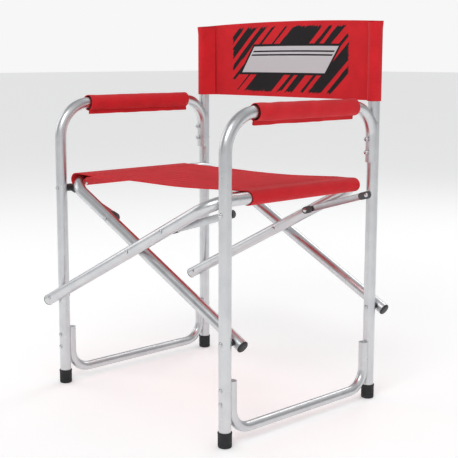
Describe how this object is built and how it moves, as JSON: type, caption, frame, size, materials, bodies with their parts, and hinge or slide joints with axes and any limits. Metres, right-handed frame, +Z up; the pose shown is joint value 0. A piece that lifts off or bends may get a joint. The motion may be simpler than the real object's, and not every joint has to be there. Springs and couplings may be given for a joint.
{
  "type": "folding director chair",
  "caption": "Folding director chair: aluminium tube side frames joined by two crossing U-shaped tubes and four links, with a sling seat, sling back and sleeved arms.",
  "frame": {"origin": "on the floor, midway between the four feet", "axes": "+X to the sitter's left as seen from the front (the viewer's right), +Y from the front to the back, +Z up"},
  "size_m": [0.568, 0.5016, 0.792],
  "materials": {
    "frame_aluminium": "satin anodised silver tube",
    "link_aluminium": "satin pressed channel",
    "rivet": "domed rivet heads",
    "foot_rubber": "matt black",
    "black_plastic": "moulded black",
    "sling_fabric": "woven red polyester, plain on the seat, with a black pattern on the back",
    "sleeve_fabric": "quilted red polyester over thin foam"
  },
  "bodies": {
    "left_side_frame": {"back_sling": "sling_fabric", "left_arm_pad": "sleeve_fabric", "left_arm_rivet_1": "rivet", "left_arm_rivet_2": "rivet", "left_bar_front_rivet_1": "rivet", "left_bar_front_rivet_2": "rivet", "left_bar_rear_rivet_1": "rivet", "left_bar_rear_rivet_2": "rivet", "left_floor_bar": "frame_aluminium", "left_front_foot": "foot_rubber", "left_front_lower_pivot": "rivet", "left_front_lower_spacer": "black_plastic", "left_front_upper_pivot": "rivet", "left_front_upper_spacer": "black_plastic", "left_leg_and_arm_tube": "frame_aluminium", "left_post_cap": "black_plastic", "left_rear_foot": "foot_rubber", "left_rear_lower_pivot": "rivet", "left_rear_lower_spacer": "black_plastic", "left_rear_post": "frame_aluminium", "left_rear_upper_pivot": "rivet"},
    "cross_frame_a": {"cross_tube_a": "frame_aluminium", "cross_tube_a_front_link_rivet": "rivet", "cross_tube_a_front_plug": "black_plastic", "cross_tube_a_rear_link_rivet": "rivet", "cross_tube_a_rear_plug": "black_plastic", "crossing_front_rivet": "rivet", "crossing_front_washer": "black_plastic", "crossing_rear_rivet": "rivet", "crossing_rear_washer": "black_plastic", "seat_sling": "sling_fabric"},
    "cross_frame_b": {"cross_tube_b": "frame_aluminium", "cross_tube_b_front_link_rivet": "rivet", "cross_tube_b_front_plug": "black_plastic", "cross_tube_b_rear_link_rivet": "rivet", "cross_tube_b_rear_plug": "black_plastic"},
    "right_side_frame": {"right_arm_pad": "sleeve_fabric", "right_arm_rivet_1": "rivet", "right_arm_rivet_2": "rivet", "right_bar_front_rivet_1": "rivet", "right_bar_front_rivet_2": "rivet", "right_bar_rear_rivet_1": "rivet", "right_bar_rear_rivet_2": "rivet", "right_floor_bar": "frame_aluminium", "right_front_foot": "foot_rubber", "right_front_lower_pivot": "rivet", "right_front_lower_spacer": "black_plastic", "right_front_upper_pivot": "rivet", "right_leg_and_arm_tube": "frame_aluminium", "right_post_cap": "black_plastic", "right_rear_foot": "foot_rubber", "right_rear_lower_pivot": "rivet", "right_rear_lower_spacer": "black_plastic", "right_rear_post": "frame_aluminium", "right_rear_upper_pivot": "rivet"},
    "left_front_link": {"left_front_link": "link_aluminium"},
    "left_rear_link": {"left_rear_link": "link_aluminium"},
    "right_front_link": {"right_front_link": "link_aluminium"},
    "right_rear_link": {"right_rear_link": "link_aluminium"}
  },
  "joints": [
    {"name": "fold", "type": "hinge", "parent": "left_side_frame", "child": "cross_frame_a", "pos_m": [-0.26, 0, 0.199], "axis": [0, -1, 0], "range_deg": [0, 48], "deforming": ["seat_sling", "back_sling"]},
    {"name": "crossing", "type": "hinge", "parent": "cross_frame_a", "child": "cross_frame_b", "pos_m": [0, 0, 0.336], "axis": [0, 1, 0], "range_deg": [0, 100.4]},
    {"name": "right_lower_pivot", "type": "hinge", "parent": "cross_frame_b", "child": "right_side_frame", "pos_m": [0.26, 0, 0.199], "axis": [0, -1, 0], "range_deg": [0, 48]},
    {"name": "left_front_link_pivot", "type": "hinge", "parent": "left_side_frame", "child": "left_front_link", "pos_m": [-0.26, 0, 0.4375], "axis": [0, -1, 0], "range_deg": [0, 88.47]},
    {"name": "left_rear_link_pivot", "type": "hinge", "parent": "left_side_frame", "child": "left_rear_link", "pos_m": [-0.26, 0, 0.4375], "axis": [0, -1, 0], "range_deg": [0, 88.47]},
    {"name": "right_front_link_pivot", "type": "hinge", "parent": "right_side_frame", "child": "right_front_link", "pos_m": [0.26, 0, 0.4375], "axis": [0, 1, 0], "range_deg": [0, 88.47]},
    {"name": "right_rear_link_pivot", "type": "hinge", "parent": "right_side_frame", "child": "right_rear_link", "pos_m": [0.26, 0, 0.4375], "axis": [0, 1, 0], "range_deg": [0, 88.47]}
  ],
  "couplings": [
    {"joint": "crossing", "follows": "fold", "ratio": 2.0916},
    {"joint": "right_lower_pivot", "follows": "fold", "ratio": 1},
    {"joint": "left_front_link_pivot", "follows": "fold", "ratio": 1.843},
    {"joint": "left_rear_link_pivot", "follows": "fold", "ratio": 1.843},
    {"joint": "right_front_link_pivot", "follows": "fold", "ratio": 1.843},
    {"joint": "right_rear_link_pivot", "follows": "fold", "ratio": 1.843}
  ]
}
